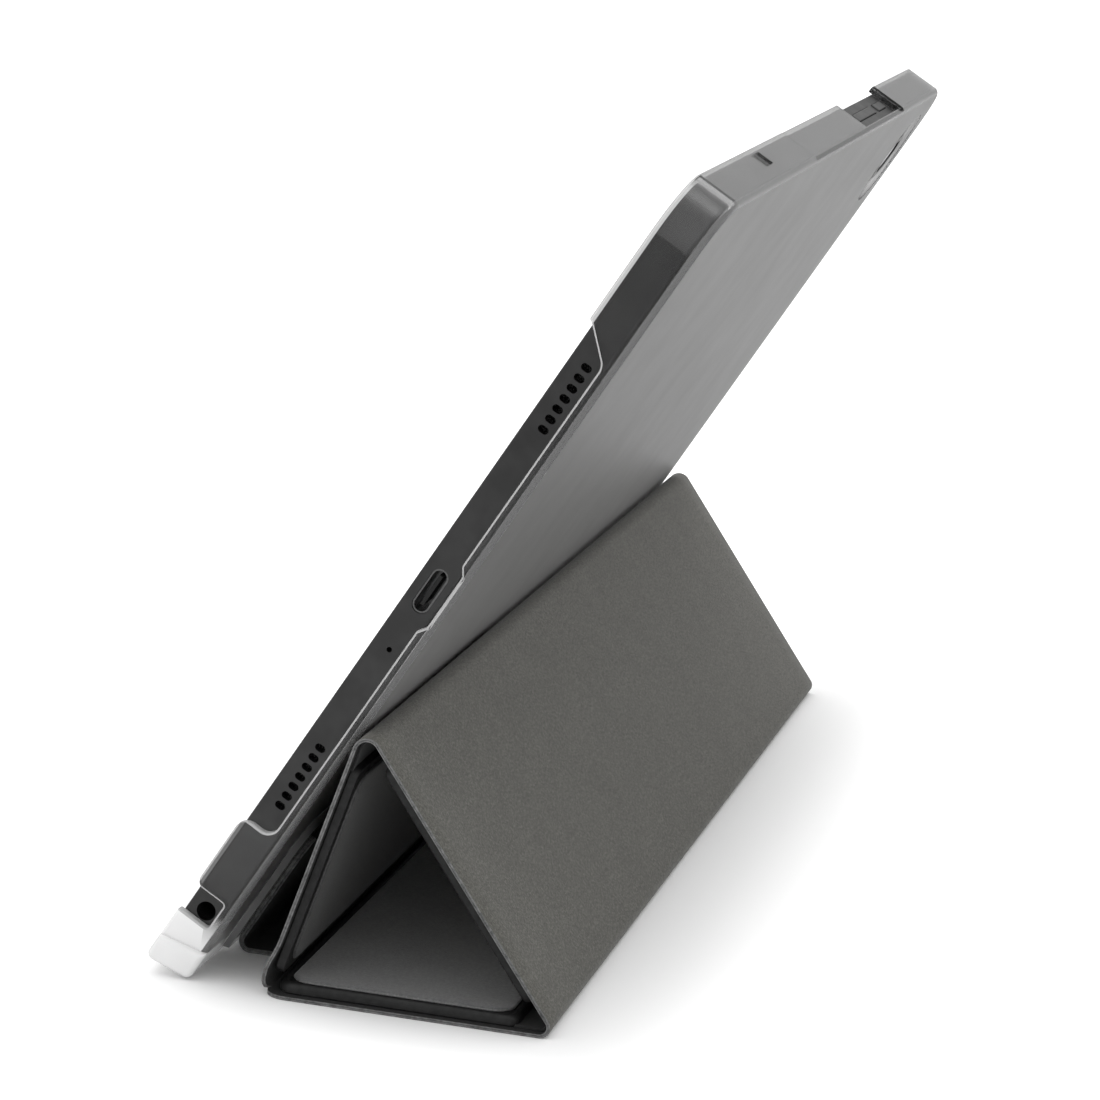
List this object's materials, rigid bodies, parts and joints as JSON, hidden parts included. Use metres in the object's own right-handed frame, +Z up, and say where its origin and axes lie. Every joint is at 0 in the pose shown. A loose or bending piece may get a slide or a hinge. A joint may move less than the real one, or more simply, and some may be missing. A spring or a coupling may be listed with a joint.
{
  "type": "tablet folding stand case",
  "caption": "Clear-backed tablet case with a three-panel suede-like cover folded behind it as a triangular stand, holding a thin tablet in landscape",
  "frame": {"origin": "on the floor, under the middle of the base panel: the centre of the flat underside that the folded stand rests on", "axes": "+X along the long edge towards the short edge with the ports, +Z up, the screen faces -Y and the folded stand is on the +Y side"},
  "size_m": [0.268, 0.0946, 0.1525],
  "materials": {
    "clear_plastic": "clear, polished",
    "tablet_metal": "fine blasted dark grey anodising",
    "key_metal": "satin dark grey anodising",
    "screen_glass": "polished black cover glass",
    "panel_film": "matt",
    "cell_wrap": "matt film",
    "board_green": "solder mask",
    "port_steel": "satin",
    "port_plastic": "moulded, matt",
    "mesh": "fine woven, blackened",
    "ring_metal": "turned and anodised",
    "lens_glass": "coated",
    "skin_suede": "short-nap suede-like, taupe grey",
    "lining_black": "smooth black lining",
    "board_wrap": "black wrapped stiffener",
    "face_micro": "soft black microfibre",
    "magnet_steel": "plated"
  },
  "bodies": {
    "case": {"clear_shell": "clear_plastic", "tablet_body": "tablet_metal", "display_glass": "screen_glass", "display_panel": "panel_film", "battery": "cell_wrap", "main_board": "board_green", "usb_shell": "port_steel", "usb_tongue": "port_plastic", "jack_barrel": "port_plastic", "speaker_modules": "port_plastic", "speaker_meshes": "mesh", "camera_ring": "ring_metal", "camera_lens": "lens_glass", "camera_module": "port_plastic", "strip_skin": "skin_suede", "strip_lining": "lining_black", "foot_fold_skin": "skin_suede", "foot_fold_lining": "lining_black"},
    "volume": {"volume_key": "key_metal"},
    "power": {"power_key": "key_metal"},
    "spine": {"spine_skin": "skin_suede", "spine_lining": "lining_black", "heel_fold_skin": "skin_suede"},
    "panel_a": {"panel_a_skin": "skin_suede", "panel_a_board": "board_wrap", "panel_a_face": "face_micro", "panel_a_magnets": "magnet_steel", "ridge_fold_skin": "skin_suede", "ridge_fold_lining": "lining_black"},
    "panel_c": {"panel_c_skin": "skin_suede", "panel_c_board": "board_wrap", "panel_c_face": "face_micro", "base_fold_skin": "skin_suede", "base_fold_lining": "lining_black"},
    "panel_b": {"panel_b_skin": "skin_suede", "panel_b_board": "board_wrap", "panel_b_face": "face_micro", "panel_b_magnets": "magnet_steel"}
  },
  "joints": [
    {"name": "cover_swing", "type": "hinge", "parent": "case", "child": "spine", "pos_m": [0, -0.03953, 0.0005], "axis": [1, 0, 0], "range_deg": [-206, 0], "deforming": ["foot_fold_skin", "foot_fold_lining"]},
    {"name": "cover_unfold", "type": "hinge", "parent": "spine", "child": "panel_a", "pos_m": [0, -0.02623, 0.0005], "axis": [1, 0, 0], "range_deg": [-167.39, 0], "deforming": ["heel_fold_skin"]},
    {"name": "ridge_fold", "type": "hinge", "parent": "panel_a", "child": "panel_c", "pos_m": [0, -0.01015, 0.05124], "axis": [1, 0, 0], "range_deg": [0, 126.45], "deforming": ["ridge_fold_skin", "ridge_fold_lining"]},
    {"name": "base_fold", "type": "hinge", "parent": "panel_c", "child": "panel_b", "pos_m": [0, 0.02748, 0.0007], "axis": [1, 0, 0], "range_deg": [0, 126.46], "deforming": ["base_fold_skin", "base_fold_lining"]},
    {"name": "volume_press", "type": "slide", "parent": "case", "child": "volume", "axis": [0, -0.5075, -0.8616], "range_m": [0, 0.0003], "stiffness_N_per_m": 500, "springref_m": -0.0006},
    {"name": "power_press", "type": "slide", "parent": "case", "child": "power", "axis": [0, -0.5075, -0.8616], "range_m": [0, 0.0003], "stiffness_N_per_m": 500, "springref_m": -0.0006}
  ],
  "couplings": [
    {"joint": "ridge_fold", "follows": "cover_unfold", "ratio": -0.75538},
    {"joint": "base_fold", "follows": "cover_unfold", "ratio": -0.75541}
  ]
}
